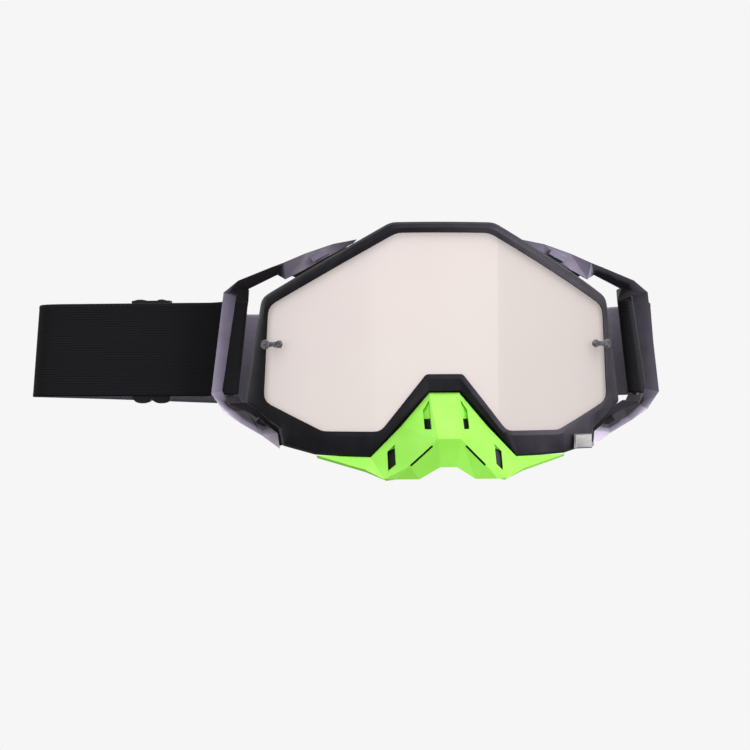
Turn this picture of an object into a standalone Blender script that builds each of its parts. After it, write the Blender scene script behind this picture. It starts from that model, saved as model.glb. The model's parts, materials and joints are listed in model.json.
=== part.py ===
"""Off-road riding goggles: frame, curved lens, strap outriggers, nose guard, face foam and elastic strap.

The goggles look towards -Y, +X is the right of someone facing them, and +Z is up. The shapes are laid out
from the middle of the lens's front, and the root empty puts the origin in the middle of the face opening,
where the foam meets the brow.
"""

from math import atan2, ceil, copysign, cos, hypot, pi, sin, sqrt

import bmesh
import bpy
from mathutils import Matrix, Vector

MM = 0.001
SIDES = ((-1, "left"), (1, "right"))

# ---- driving dimensions (metres) ----------------------------------------------------------------------
CLEARANCE = 0.3 * MM
APERTURE_WIDTH = 166 * MM
APERTURE_HEIGHT = 91.4 * MM
LENS_RADIUS = 116 * MM
LENS_THICKNESS = 1.1 * MM
LENS_OVERLAP = 3 * MM
RIM_HEIGHT = 2.4 * MM
WALL = 2.6 * MM
FLANGE = 9 * MM
CENTRE_DEPTH = 24 * MM
SIDE_DEPTH = 17 * MM
VENT_WIDTH = 11 * MM
VENT_LENGTH = 7 * MM
VENT_FOAM_THICKNESS = 3 * MM
FOAM_LAYERS = {"face_foam_base": 5 * MM, "face_foam_middle": 5 * MM, "face_foam_fleece": 3 * MM}
FOAM_WIDTH = 9 * MM
STRAP_WIDTH = 45 * MM
STRAP_THICKNESS = 1.6 * MM
STRAP_BAR_RADIUS = 1.75 * MM
OUTRIGGER_THICKNESS = 2.2 * MM
OUTRIGGER_LEAN = 0.11
TAB_LENGTH = 8 * MM
TAB_REACH = 13 * MM
TAB_LIFT = 2.1 * MM
TAB_THICKNESS = 2.4 * MM
PIN_RADIUS = 1.3 * MM
PIN_HEAD_RADIUS = 2.3 * MM
PIN_HEAD = 1.2 * MM
GUARD_THICKNESS = 1.8 * MM
SLIDER_LENGTH = 19 * MM
SLIDER_MARGIN = 3.2 * MM
SLIDER_RAIL = 3.2 * MM
SLIDER_BAR = 1.2 * MM
POST_ARM = 8.8 * MM
POST_HEIGHT = 3.2 * MM
POST_HEAD_RADIUS = 2.15 * MM
POST_THICKNESS = 1.6 * MM
BADGE_WIDTH = 9.4 * MM
BADGE_HEIGHT = 6.8 * MM
BADGE_THICKNESS = 0.9 * MM
GRIP_WIDTH = 2 * MM
GRIP_HEIGHT = 0.6 * MM

# The hand-laid points further down were drawn around a lens and a strap of these sizes.
DRAWN_HALF_WIDTH = 83 * MM
DRAWN_HEIGHT = 91.4 * MM
DRAWN_RADIUS = 116 * MM
DRAWN_STRAP_WIDTH = 45 * MM
DRAWN_FACE_DEPTH = 37.9 * MM

# ---- how finely curves are faceted --------------------------------------------------------------------
EDGE_STEP = 6.5 * MM
CORNER_STEPS = 3
ROUTE_STEPS = 3
WRAP_STEPS = 6

# ---- places worked out from the driving dimensions ----------------------------------------------------
FACE_DEPTH = CENTRE_DEPTH + sum(FOAM_LAYERS.values()) + len(FOAM_LAYERS) * CLEARANCE
HALF_WIDTH = APERTURE_WIDTH / 2
GROOVE_BACK = LENS_THICKNESS + CLEARANCE
STRAP_RISE = (STRAP_WIDTH - DRAWN_STRAP_WIDTH) / 2
LAYER_PITCH = STRAP_THICKNESS + SLIDER_BAR + 2 * CLEARANCE


def arc_depth(x, radius, inset=0.0):
    """How far behind the lens's middle a vertical cylinder lies at x, that much inside the lens's front."""
    return radius - sqrt((radius - inset) ** 2 - x * x)


def lens_y(x, inset=0.0):
    return arc_depth(x, LENS_RADIUS, inset)


def frame_back_y(x):
    share = (x / HALF_WIDTH) ** 2
    return lens_y(x) + CENTRE_DEPTH + (SIDE_DEPTH - CENTRE_DEPTH) * share


def across(x):
    """A drawn x: inside the aperture it stretches with the width, and past it it keeps its distance."""
    inside = min(abs(x), DRAWN_HALF_WIDTH)
    return copysign(inside * HALF_WIDTH / DRAWN_HALF_WIDTH + abs(x) - inside, x)


def spot(x, y, z):
    """A drawn point (mm) as a point on these goggles, which follows their width, height and lens curve."""
    inside = min(abs(x) * MM, DRAWN_HALF_WIDTH)
    follow = lens_y(across(inside)) - arc_depth(inside, DRAWN_RADIUS)
    return Vector((across(x * MM), y * MM + follow, z * MM * APERTURE_HEIGHT / DRAWN_HEIGHT))


def lean(x, z):
    """An outrigger's bars lean outwards as they go down."""
    return -copysign(OUTRIGGER_LEAN, x) * z


# ---- scene, materials and mesh helpers ----------------------------------------------------------------
def clear_scene():
    for obj in list(bpy.data.objects):
        bpy.data.objects.remove(obj, do_unlink=True)


def new_collection(name):
    collection = bpy.data.collections.new(name)
    bpy.context.scene.collection.children.link(collection)
    return collection


def material(name, colour, roughness, metallic=0.0):
    made = bpy.data.materials.new(name)
    made.use_nodes = True
    shader = made.node_tree.nodes["Principled BSDF"]
    shader.inputs["Base Color"].default_value = (*colour, 1)
    shader.inputs["Roughness"].default_value = roughness
    shader.inputs["Metallic"].default_value = metallic
    return made


clear_scene()
PARTS = new_collection("riding_goggles")
CUTTERS = new_collection("cutters")
ROOT = bpy.data.objects.new("goggles_root", None)
PARTS.objects.link(ROOT)
ROOT.location.y = -FACE_DEPTH

FRAME_PLASTIC = material("frame_plastic", (0.012, 0.011, 0.014), 0.5)
OUTRIGGER_PLASTIC = material("outrigger_plastic", (0.07, 0.065, 0.09), 0.3)
MIRROR_LENS = material("mirror_lens", (0.80, 0.74, 0.73), 0.06, 1.0)
SMOKE_PLASTIC = material("smoke_plastic", (0.06, 0.06, 0.07), 0.2)
LIME_PLASTIC = material("lime_plastic", (0.30, 0.86, 0.07), 0.4)
FOAM = material("foam", (0.03, 0.03, 0.035), 0.9)
FLEECE = material("fleece", (0.05, 0.05, 0.06), 1.0)
STRAP_ELASTIC = material("strap_elastic", (0.01, 0.01, 0.012), 0.85)
SILICONE = material("silicone", (0.3, 0.3, 0.32), 0.4)
STEEL = material("steel", (0.55, 0.55, 0.56), 0.3, 1.0)
BADGE_METAL = material("badge_metal", (0.75, 0.73, 0.72), 0.3, 1.0)


def place(name, bm, look):
    """A mesh object from a bmesh, in the goggles' collection."""
    mesh = bpy.data.meshes.new(name)
    bm.to_mesh(mesh)
    bm.free()
    obj = bpy.data.objects.new(name, mesh)
    obj.data.materials.append(look)
    obj.parent = ROOT
    PARTS.objects.link(obj)
    return obj


def modify(obj, kind, **settings):
    modifier = obj.modifiers.new(kind.title(), kind)
    for key, value in settings.items():
        setattr(modifier, key, value)


def boolean(obj, other, operation="DIFFERENCE"):
    """Cuts, joins or trims with a helper object, which stays hidden."""
    PARTS.objects.unlink(other)
    CUTTERS.objects.link(other)
    other.hide_render = True
    other.display_type = "WIRE"
    modify(obj, "BOOLEAN", operation=operation, object=other)


def block(name, size, centre, turn, look):
    """A box of that size, turned by a matrix and then moved to its centre."""
    bm = bmesh.new()
    bmesh.ops.create_cube(bm, size=1.0)
    bmesh.ops.scale(bm, vec=size, verts=bm.verts)
    bm.transform(Matrix.Translation(centre) @ turn)
    return place(name, bm, look)


def turn_of(matrix):
    return matrix.to_quaternion().to_matrix().to_4x4()


def rod(name, radius, start, end, look, segments=16):
    """A cylinder between two points."""
    bm = bmesh.new()
    bmesh.ops.create_cone(
        bm, cap_ends=True, segments=segments, radius1=radius, radius2=radius, depth=(end - start).length
    )
    turn = (end - start).to_track_quat("Z", "Y").to_matrix().to_4x4()
    bm.transform(Matrix.Translation((start + end) / 2) @ turn)
    return place(name, bm, look)


def sided(obj, side):
    """Mirrors a right-hand piece for the left side."""
    if side < 0:
        obj.data.transform(Matrix.Scale(-1, 4, (1, 0, 0)))
        obj.data.flip_normals()
    return obj


def loft(name, rings, look, closed=True):
    """Skins rings of points: a closed loft joins the last ring to the first, an open one is capped."""
    bm = bmesh.new()
    loops = [[bm.verts.new(point) for point in ring] for ring in rings]
    for near, far in zip(loops, loops[1:] + loops[:1] if closed else loops[1:]):
        for i in range(len(near)):
            bm.faces.new((near[i - 1], near[i], far[i], far[i - 1]))
    if not closed:
        bm.faces.new(loops[0])
        bm.faces.new(loops[-1])
    bmesh.ops.recalc_face_normals(bm, faces=bm.faces)
    return place(name, bm, look)


# ---- outlines, seen from the front --------------------------------------------------------------------
# The corners of the right half, from the brow down to the nose, drawn in mm as (x, z, corner radius).
# All three have the same corners, so that rings made from them can be skinned together.
APERTURE = [
    (21.5, 50.6, 10),
    (80.6, 18.2, 7),
    (83, -27, 6),
    (74.5, -31.3, 1),
    (67, -35.1, 1),
    (55.6, -40.8, 8),
    (29.3, -40.8, 6),
    (8.4, -14.4, 2.5),
]
FRONT_EDGE = [
    (24, 55.8, 10),
    (83.8, 22.7, 7),
    (92.2, -28.5, 3),
    (75.6, -40.3, 1),
    (74.4, -48, 1.5),
    (59, -51.9, 4),
    (33.5, -53.2, 3),
    (7.2, -22.9, 2),
]
BACK_EDGE = [
    (26, 54, 10),
    (80.5, 24, 10),
    (86, -25, 8),
    (77, -36, 2),
    (70, -43, 2),
    (57, -50, 8),
    (36, -50, 8),
    (13, -20.5, 5),
]


def drawn(corners):
    """The outline's corners as (point, radius), in metres and at these goggles' size."""
    points = [spot(x, 0, z) for x, z, _ in corners]
    return [(Vector((p.x, p.z)), radius * MM) for p, (_, _, radius) in zip(points, corners)]


def offset(corners, distance):
    """The outline moved out by a distance, or in by a negative one. Rounding grows and shrinks with it."""
    half = [point for point, _ in corners]
    ring = [Vector((-half[0].x, half[0].y)), *half, Vector((-half[-1].x, half[-1].y))]
    moved = []
    for before, (point, radius), after in zip(ring, corners, ring[2:]):
        into = (point - before).normalized()
        out = (after - point).normalized()
        normal_in, normal_out = Vector((-into.y, into.x)), Vector((-out.y, out.x))
        bisector = (normal_in + normal_out) / (1 + normal_in.dot(normal_out))
        outwards = normal_in.cross(normal_out) < 0
        grown = radius + (distance if outwards else -distance)
        moved.append((point + bisector * distance, max(grown, MM / 2)))
    return moved


EDGE_COUNTS = [
    max(1, ceil((after - before).length / EDGE_STEP))
    for (before, _), (after, _) in zip(drawn(FRONT_EDGE), drawn(FRONT_EDGE)[1:])
]


def along(start, end, count):
    return [start.lerp(end, step / count) for step in range(count)]


def half_outline(corners):
    """Points down the right half, with each corner rounded by an arc and each straight cut in short steps."""
    half = [point for point, _ in corners]
    ring = [Vector((-half[0].x, half[0].y)), *half, Vector((-half[-1].x, half[-1].y))]
    points = []
    last = Vector((0, half[0].y))
    for index, (before, (point, radius), after) in enumerate(zip(ring, corners, ring[2:])):
        into, out = (point - before).normalized(), (after - point).normalized()
        turn = into.angle(out)
        reach = radius * sin(turn / 2) / cos(turn / 2)
        start, end = point - into * reach, point + out * reach
        count = EDGE_COUNTS[index - 1] if index else EDGE_COUNTS[0] // 2
        points += along(last, start, count)
        for step in range(CORNER_STEPS):
            share = step / CORNER_STEPS
            near, far = start.lerp(point, share), point.lerp(end, share)
            points.append(near.lerp(far, share))
        last = end
    points += [last, Vector((0, half[-1].y))]
    return points


def outline(corners):
    """The whole outline, once round."""
    right = half_outline(corners)
    return right + [Vector((-p.x, p.y)) for p in reversed(right[1:-1])]


def ring_at(corners, depth):
    """The outline's points in space, where depth(x) gives how far back each one lies."""
    return [Vector((p.x, depth(p.x), p.y)) for p in outline(corners)]


# ---- frame and lens -----------------------------------------------------------------------------------
def frame_rings():
    aperture, front, back = drawn(APERTURE), drawn(FRONT_EDGE), drawn(BACK_EDGE)

    def inset(distance):
        return lambda x: lens_y(x, distance)

    def from_back(distance):
        return lambda x: frame_back_y(x) - distance

    lip = CLEARANCE * 2
    return [
        ring_at(aperture, inset(-CLEARANCE)),
        ring_at(aperture, inset(CLEARANCE - RIM_HEIGHT)),
        ring_at(offset(aperture, RIM_HEIGHT * 0.9), inset(-RIM_HEIGHT)),
        ring_at(offset(front, -CLEARANCE * 4), inset(-RIM_HEIGHT / 2)),
        ring_at(front, inset(CLEARANCE * 5)),
        ring_at(back, from_back(0)),
        ring_at(offset(back, -FLANGE), from_back(0)),
        ring_at(offset(back, -FLANGE), from_back(WALL * 0.75)),
        ring_at(offset(back, -WALL), from_back(WALL * 0.75)),
        ring_at(offset(front, -WALL), inset(GROOVE_BACK + WALL)),
        ring_at(offset(aperture, lip), inset(GROOVE_BACK + WALL)),
        ring_at(offset(aperture, lip), inset(GROOVE_BACK)),
        ring_at(offset(aperture, LENS_OVERLAP + CLEARANCE), inset(GROOVE_BACK)),
        ring_at(offset(aperture, LENS_OVERLAP + CLEARANCE), inset(-CLEARANCE)),
    ]


def make_frame():
    return loft("frame", frame_rings(), FRAME_PLASTIC)


def curved_sheet(name, look, inset, thickness):
    """A sheet bent round the lens's axis, larger than the lens, to be trimmed to an outline."""
    reach = HALF_WIDTH + 2 * LENS_OVERLAP
    columns = 2 * ceil(reach / EDGE_STEP)
    bm = bmesh.new()
    bmesh.ops.create_grid(bm, x_segments=columns, y_segments=1, size=reach)
    for vert in bm.verts:
        x, z = vert.co.x, vert.co.y
        vert.co = (x, lens_y(x, inset), z)
    front = list(bm.faces)
    made = bmesh.ops.extrude_face_region(bm, geom=front)["geom"]
    for vert in (item for item in made if isinstance(item, bmesh.types.BMVert)):
        vert.co.y = lens_y(vert.co.x, inset + thickness)
    bmesh.ops.recalc_face_normals(bm, faces=bm.faces)
    return place(name, bm, look)


def prism(name, points, low, high, look):
    """A flat outline, pushed along Y from low to high."""
    rings = [[Vector((p.x, y, p.y)) for p in points] for y in (low, high)]
    return loft(name, rings, look, closed=False)


def make_lens():
    lens = curved_sheet("lens", MIRROR_LENS, 0.0, LENS_THICKNESS)
    edge = outline(offset(drawn(APERTURE), LENS_OVERLAP))
    trim = prism("lens_outline", edge, -LENS_RADIUS, LENS_RADIUS, MIRROR_LENS)
    boolean(lens, trim, "INTERSECT")
    return lens


# ---- tear-off posts -----------------------------------------------------------------------------------
def lens_frame(x, z=0.0):
    """Axes at a place on the lens's front: X along the lens, Y into it, Z up."""
    turn = Matrix.Rotation(atan2(x, sqrt(LENS_RADIUS**2 - x * x)), 4, "Z")
    return Matrix.Translation((x, lens_y(x), z)) @ turn


def make_post(name, side, lens):
    """A key-shaped hook for tear-off films: a stud through the lens, an arm along it and a round head."""
    centre = lens_frame(side * (HALF_WIDTH - 6.5 * MM))
    front = -RIM_HEIGHT - CLEARANCE
    stud_radius = POST_HEIGHT * 0.42
    end = POST_ARM - stud_radius
    inside = GROOVE_BACK + POST_THICKNESS

    def local(x, y):
        return centre @ Vector((side * x, y, 0))

    def disc(word, radius, x, start, stop):
        return rod(name + word, radius, local(x, start), local(x, stop), SMOKE_PLASTIC)

    post = disc("", stud_radius, 0, front - POST_THICKNESS / 2, inside)
    tip = stud_radius + CLEARANCE
    middle = local((end - tip) / 2, front - POST_THICKNESS / 2)
    arm_size = (end + tip, POST_THICKNESS, POST_HEIGHT)
    arm = block(name + "_arm", arm_size, middle, turn_of(centre), SMOKE_PLASTIC)
    head = disc("_head", POST_HEAD_RADIUS, end, front - POST_THICKNESS * 1.3, front - POST_THICKNESS * 0.1)
    button = disc("_button", POST_HEAD_RADIUS, 0, GROOVE_BACK, inside - POST_THICKNESS * 0.1)
    for piece in (arm, head, button):
        boolean(post, piece, "UNION")
    boolean(lens, disc("_hole", stud_radius + CLEARANCE, 0, front, 4 * GROOVE_BACK))


# ---- face foam and vent foam --------------------------------------------------------------------------
def make_face_foam():
    """Layers of foam glued to the frame's flange, each a closed band that follows the face."""
    outer = offset(drawn(BACK_EDGE), -1.5 * MM)
    inner = offset(drawn(BACK_EDGE), -1.5 * MM - FOAM_WIDTH)
    start = CLEARANCE
    for name, thickness in FOAM_LAYERS.items():
        near, far = start, start + thickness

        def at(distance):
            return lambda x: frame_back_y(x) + distance

        section = ((outer, near), (outer, far), (inner, far), (inner, near))
        rings = [ring_at(corners, at(distance)) for corners, distance in section]
        loft(name, rings, FLEECE if name.endswith("fleece") else FOAM)
        start = far + CLEARANCE


def edge_z(corners, first, second, x):
    """The height of the straight between two corners of an outline, at x."""
    near, far = drawn(corners)[first][0], drawn(corners)[second][0]
    return near.y + (far.y - near.y) * (x - near.x) / (far.x - near.x)


def make_vents(frame):
    """Slots through the brow and chin walls, each backed by a strip of open foam inside the frame."""
    brow_x = VENT_WIDTH / 2 + 2 * WALL
    chin_x = across(46 * MM)
    for side, word in SIDES:
        heights = (drawn(FRONT_EDGE)[0][0].y, drawn(BACK_EDGE)[0][0].y)
        make_vent(frame, "top_vent_" + word, side * brow_x, heights, 1)
        heights = (edge_z(FRONT_EDGE, 5, 6, chin_x), edge_z(BACK_EDGE, 5, 6, chin_x))
        make_vent(frame, "bottom_vent_" + word, side * chin_x, heights, -1)


def make_vent(frame, name, x, heights, up):
    front, back = (Vector((x, y, z)) for y, z in zip((lens_y(x), frame_back_y(x)), heights))
    yaw = Matrix.Rotation(atan2(x, sqrt(LENS_RADIUS**2 - x * x)), 4, "Z")
    turn = yaw @ Matrix.Rotation(atan2(back.z - front.z, back.y - front.y), 4, "X")
    middle = front.lerp(back, 0.55)
    boolean(frame, block(name, (VENT_WIDTH, VENT_LENGTH, 4 * WALL), middle, turn, FRAME_PLASTIC))
    inward = turn @ Vector((0, 0, -up * (WALL + 3 * CLEARANCE + VENT_FOAM_THICKNESS / 2)))
    size = (VENT_WIDTH + 3 * MM, VENT_LENGTH + 3 * MM, VENT_FOAM_THICKNESS)
    block(name + "_foam", size, middle + inward, turn, FOAM)


# ---- outriggers ---------------------------------------------------------------------------------------
# Stations round the right outrigger's band, from the brow, out to the strap bar and back to the cheek:
# the outer edge and the inner edge of its front face, drawn in mm as (x, y, z).
OUTRIGGER_STATIONS = [
    ((39.0, 17.0, 49.0), (40.5, 18.0, 47.4)),
    ((50.0, 18.5, 47.0), (51.0, 21.0, 42.0)),
    ((63.0, 20.5, 42.7), (63.5, 23.0, 35.2)),
    ((73.5, 22.5, 38.4), (72.5, 26.5, 30.9)),
    ((79.0, 23.5, 36.4), (76.2, 28.5, 33.2)),
    ((94.7, 25.5, 30.2), (90.0, 31.5, 26.6)),
    ((101.7, 26.5, 24.6), (96.0, 34.5, 23.4)),
    ((107.8, 29.5, -23.2), (102.9, 34.8, -22.0)),
    ((102.1, 30.0, -31.8), (99.3, 35.0, -29.2)),
    ((94.0, 30.5, -37.4), (91.5, 36.0, -31.4)),
    ((84.0, 31.0, -43.3), (83.4, 34.5, -37.0)),
    ((75.4, 29.3, -49.6), (76.4, 31.4, -42.4)),
]
STRAP_BAR = (96.2, 41.5)
STRAP_BAR_ENDS = (-30.5, 26.5)
BRIDGE_HEIGHT = 3.8 * MM


def outrigger_spot(x, y, z):
    """A drawn point of an outrigger, which also makes room for a wider or narrower strap at its bar."""
    near_bar = min(max((x - 75) / 15, 0), 1)
    point = spot(x, y, z)
    point.z += copysign(STRAP_RISE * near_bar, z)
    return point


def band_rings():
    back = Vector((0, OUTRIGGER_THICKNESS, 0))
    rings = []
    for outer, inner in OUTRIGGER_STATIONS:
        out, into = outrigger_spot(*outer), outrigger_spot(*inner)
        rings.append([out, into, into + back, out + back])
    return rings


def strap_bar_point(z):
    centre = spot(*STRAP_BAR, 0)
    return Vector((centre.x + lean(centre.x, z), centre.y, z))


def strap_bar_ends():
    return [z * MM + copysign(STRAP_RISE, z) for z in STRAP_BAR_ENDS]


def make_bridge(z, near, stations):
    """The cheek that carries an end of the strap bar: a faceted web from the band back to the bar."""
    bm = bmesh.new()
    back = Vector((0, OUTRIGGER_THICKNESS, 0))
    for station in stations:
        for edge in OUTRIGGER_STATIONS[station]:
            point = outrigger_spot(*edge)
            bm.verts.new(point)
            bm.verts.new(point + back)
    reach = 2 * STRAP_BAR_RADIUS
    for level in (z, near):
        end = strap_bar_point(level)
        for x, y in ((-reach, 0), (0, reach), (reach, reach), (reach, 0)):
            bm.verts.new(end + Vector((x, y, 0)))
    hull = bmesh.ops.convex_hull(bm, input=bm.verts)
    inside = [item for item in hull["geom_interior"] if isinstance(item, bmesh.types.BMVert)]
    bmesh.ops.delete(bm, geom=inside, context="VERTS")
    bmesh.ops.recalc_face_normals(bm, faces=bm.faces)
    return place("bridge", bm, OUTRIGGER_PLASTIC)


def wall_matrix(corner, share, depth_share):
    """A place on the frame's outer wall between two corners: X along the edge, Y back, Z out of the wall."""
    places, runs = [], []
    for corners, depth in ((FRONT_EDGE, lens_y), (BACK_EDGE, frame_back_y)):
        near, far = (drawn(corners)[index][0] for index in (corner, corner + 1))
        flat = near.lerp(far, share)
        places.append(Vector((flat.x, depth(flat.x), flat.y)))
        runs.append(Vector((far.x - near.x, 0, far.y - near.y)).normalized())
    back = (places[1] - places[0]).normalized()
    out = runs[0].lerp(runs[1], depth_share).cross(back).normalized()
    turn = Matrix((back.cross(out), back, out)).transposed().to_4x4()
    return Matrix.Translation(places[0].lerp(places[1], depth_share)) @ turn


# Where each outrigger's tabs are pinned: the wall's first corner, and shares along it and back from the lens.
TABS = {"upper": (0, 0.52, 0.66), "lower": (2, 0.66, 0.5)}


def make_outrigger(side, word, frame):
    """A moulded loop: a faceted band pinned to the brow and the cheek, and the bar that the strap turns round."""
    band = loft("outrigger_" + word, band_rings(), OUTRIGGER_PLASTIC, closed=False)
    outrigger = sided(band, side)
    low, high = strap_bar_ends()
    pieces = [rod("bar", STRAP_BAR_RADIUS, strap_bar_point(low), strap_bar_point(high), OUTRIGGER_PLASTIC)]
    pieces += [make_bridge(high, high - BRIDGE_HEIGHT, (5, 6)), make_bridge(low, low + BRIDGE_HEIGHT, (8, 9))]
    for name, where in TABS.items():
        wall = wall_matrix(*where)
        lift = TAB_LIFT + TAB_THICKNESS / 2
        size = (TAB_LENGTH, TAB_REACH, TAB_THICKNESS)
        middle = wall @ Vector((0, -TAB_REACH / 5, lift))
        pieces.append(block("tab", size, middle, turn_of(wall), OUTRIGGER_PLASTIC))
    for piece in pieces:
        boolean(outrigger, sided(piece, side), "UNION")
    for name, where in TABS.items():
        make_pin(f"outrigger_pin_{name}_{word}", wall_matrix(*where), side, (outrigger, frame))


def make_pin(name, wall, side, drilled):
    """A headed pin through a tab and the frame's wall, and its clearance hole in both."""
    top = TAB_LIFT + TAB_THICKNESS + CLEARANCE
    tip = -WALL - 2 * CLEARANCE
    shank = (wall @ Vector((0, 0, tip)), wall @ Vector((0, 0, top + PIN_HEAD)))
    pin = sided(rod(name, PIN_RADIUS, *shank, STEEL), side)
    head = (wall @ Vector((0, 0, top)), wall @ Vector((0, 0, top + PIN_HEAD)))
    boolean(pin, sided(rod(name + "_head", PIN_HEAD_RADIUS, *head, STEEL), side), "UNION")
    hole = (wall @ Vector((0, 0, 3 * tip)), wall @ Vector((0, 0, 2 * top)))
    for obj in drilled:
        boolean(obj, sided(rod(name + "_hole", PIN_RADIUS + CLEARANCE, *hole, STEEL), side))


# ---- nose guard ---------------------------------------------------------------------------------------
# The right half of the guard's front skin, drawn in mm. It meets the frame along crest_end, edge, wing_root
# and tip, and the rest stands out in front of the nose.
GUARD_POINTS = {
    "crest": (0, 0.6, -23.0),
    "crest_end": (6.9, 0.6, -23.0),
    "ridge": (0, -21.3, -43.3),
    "ridge_end": (5.1, -21.0, -43.3),
    "notch": (0, -16.2, -56.3),
    "notch_end": (3.8, -16.0, -56.3),
    "foot_inner": (12.7, -11.8, -61.9),
    "foot_crease": (23.2, -9.0, -62.1),
    "foot_outer": (28.3, -5.4, -62.2),
    "slit_end": (17.6, -14.2, -56.0),
    "edge": (19.9, 1.2, -38.4),
    "wing_root": (33.8, 4.0, -53.7),
    "wing_crease": (36.7, 0.2, -58.0),
    "tip": (58.5, 13.6, -53.2),
}
GUARD_FACETS = [
    ("crest", "ridge", "ridge_end", "crest_end"),
    ("ridge", "notch", "notch_end", "ridge_end"),
    ("ridge_end", "notch_end", "foot_inner", "foot_crease", "slit_end"),
    ("crest_end", "ridge_end", "edge"),
    ("ridge_end", "slit_end", "edge"),
    ("edge", "slit_end", "foot_outer", "wing_root"),
    ("slit_end", "foot_crease", "foot_outer"),
    ("wing_root", "foot_outer", "wing_crease"),
    ("wing_root", "wing_crease", "tip"),
]
GUARD_WINDOWS = {
    "upper": [(7.3, -26.4), (10.2, -31.0), (10.2, -39.4), (7.3, -39.4)],
    "lower": [(23.0, -46.6), (26.4, -50.0), (26.4, -58.6), (23.0, -55.6)],
    "slit": [(7.9, -46.2), (17.3, -55.3), (16.6, -56.0), (7.2, -46.9)],
}


def make_nose_guard():
    bm = bmesh.new()
    verts = {name: bm.verts.new(spot(*point)) for name, point in GUARD_POINTS.items()}
    for facet in GUARD_FACETS:
        bm.faces.new([verts[name] for name in facet])
    bmesh.ops.triangulate(bm, faces=bm.faces)
    guard = place("nose_guard", bm, LIME_PLASTIC)
    modify(guard, "MIRROR", use_clip=True, merge_threshold=0.00001)
    modify(guard, "SOLIDIFY", thickness=GUARD_THICKNESS, offset=-1, use_even_offset=True)
    for name, corners in GUARD_WINDOWS.items():
        points = [spot(x, 0, z) for x, z in corners]
        flat = [Vector((p.x, p.z)) for p in points]
        for side, word in SIDES:
            window = prism(name + word, flat, -LENS_RADIUS / 2, LENS_RADIUS / 2, LIME_PLASTIC)
            boolean(guard, sided(window, side))


def make_badge():
    """A bare plate on the front of the right cheek."""
    place_x, _, place_z = spot(66.4, 0, -46.5)
    centre = lens_frame(place_x, place_z) @ Vector((0, -RIM_HEIGHT - CLEARANCE - BADGE_THICKNESS / 2, 0))
    size = (BADGE_WIDTH, BADGE_THICKNESS, BADGE_HEIGHT)
    block("badge", size, centre, turn_of(lens_frame(place_x)), BADGE_METAL)


# ---- strap, sliders and grip lines --------------------------------------------------------------------
# The strap's run seen from above, drawn in mm as (x, y, height of its middle): from the left outrigger's
# bar, out to the fold, behind the goggles and round to the right outrigger's bar.
LEFT_RUN = [
    (-100, 38.5, -1.2),
    (-104, 38.9, -1.6),
    (-110, 39.9, -2.0),
    (-120, 41.8, -2.0),
    (-140, 45.6, -2.0),
    (-160, 49.4, -2.0),
    (-175, 52.25, -2.0),
    (-186, 54.34, -2.0),
]
REAR_RUN = [
    (-193.5, 56.6, -2.1),
    (-197.4, 61.2, -2.3),
    (-194.0, 66.0, -2.5),
    (-186, 67.4, -2.8),
    (-165, 68.2, -3.5),
    (-144, 68.8, -4.3),
    (-110, 69.6, -5.8),
    (-92, 71.2, -6.4),
    (-82, 74.2, -6.4),
    (-62, 80.4, -6.0),
    (-32, 86.2, -5.5),
    (0, 88.0, -5.0),
]
RIGHT_RUN = [
    (14, 86.86, -4.0),
    (26, 84.75, -4.0),
    (46, 81.23, -4.0),
    (62, 78.41, -4.0),
    (76, 75.95, -4.0),
    (88, 72.6, -3.4),
    (96.2, 67.8, -3.0),
    (102.6, 61.2, -2.6),
    (105.4, 53.6, -2.2),
    (104.6, 46.6, -1.8),
    (101.6, 41.4, -1.5),
    (98.6, 39.2, -1.5),
]
WRAP_HEIGHT = -1.4
SLIDER_PLACES = {"left": (-137, -2.0), "right": (50, -4.0)}


def strap_spot(x, y, z):
    """A drawn point of the strap, whose rear run also keeps its distance from the face."""
    point = spot(x, y, 0)
    behind = min(max((y - 45) / 20, 0), 1)
    point.y += behind * (FACE_DEPTH - DRAWN_FACE_DEPTH)
    point.z = z * MM
    return point


def smooth(points, steps):
    """A smooth curve through the points."""
    ends = [2 * points[0] - points[1], *points, 2 * points[-1] - points[-2]]
    curve = []
    for a, b, c, d in zip(ends, ends[1:], ends[2:], ends[3:]):
        for step in range(steps):
            t = step / steps
            pull = (c - a) * t + (2 * a - 5 * b + 4 * c - d) * t**2 + (3 * b - a - 3 * c + d) * t**3
            curve.append(b + pull / 2)
    return [*curve, points[-1]]


def plan_normals(points):
    """At each point of a run, the level direction square to it, on the left of its travel."""
    normals = []
    for before, after in zip([points[0], *points], [*points[1:], points[-1]]):
        run = Vector((after.x - before.x, after.y - before.y, 0)).normalized()
        normals.append(Vector((-run.y, run.x, 0)))
    return normals


def shifted(points, distance):
    return [point + normal * distance for point, normal in zip(points, plan_normals(points))]


def wrap(side):
    """The strap's turn round an outrigger's bar, from its front, past its inner side, to its back."""
    centre = spot(*STRAP_BAR, WRAP_HEIGHT)
    radius = STRAP_BAR_RADIUS + CLEARANCE + STRAP_THICKNESS / 2
    turns = [pi * step / WRAP_STEPS for step in range(WRAP_STEPS + 1)]
    across_bar = [side * (centre.x - radius * sin(turn)) for turn in turns]
    depths = [centre.y - radius * cos(turn) for turn in turns]
    return [Vector((x, y, centre.z)) for x, y in zip(across_bar, depths)]


def strap_parts():
    left = [strap_spot(*point) for point in LEFT_RUN]
    rear = [strap_spot(*point) for point in REAR_RUN]
    right = [strap_spot(*point) for point in RIGHT_RUN]
    left_tail = shifted(left, -LAYER_PITCH)[2:]
    right_tail = shifted(right, LAYER_PITCH)[:-2]
    return left_tail, left, rear, right, right_tail


def strap_route():
    left_tail, left, rear, right, right_tail = strap_parts()
    route = left_tail[::-1] + wrap(-1)[::-1] + left + rear + right + wrap(1) + right_tail[::-1]
    return smooth(route, ROUTE_STEPS)


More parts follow.
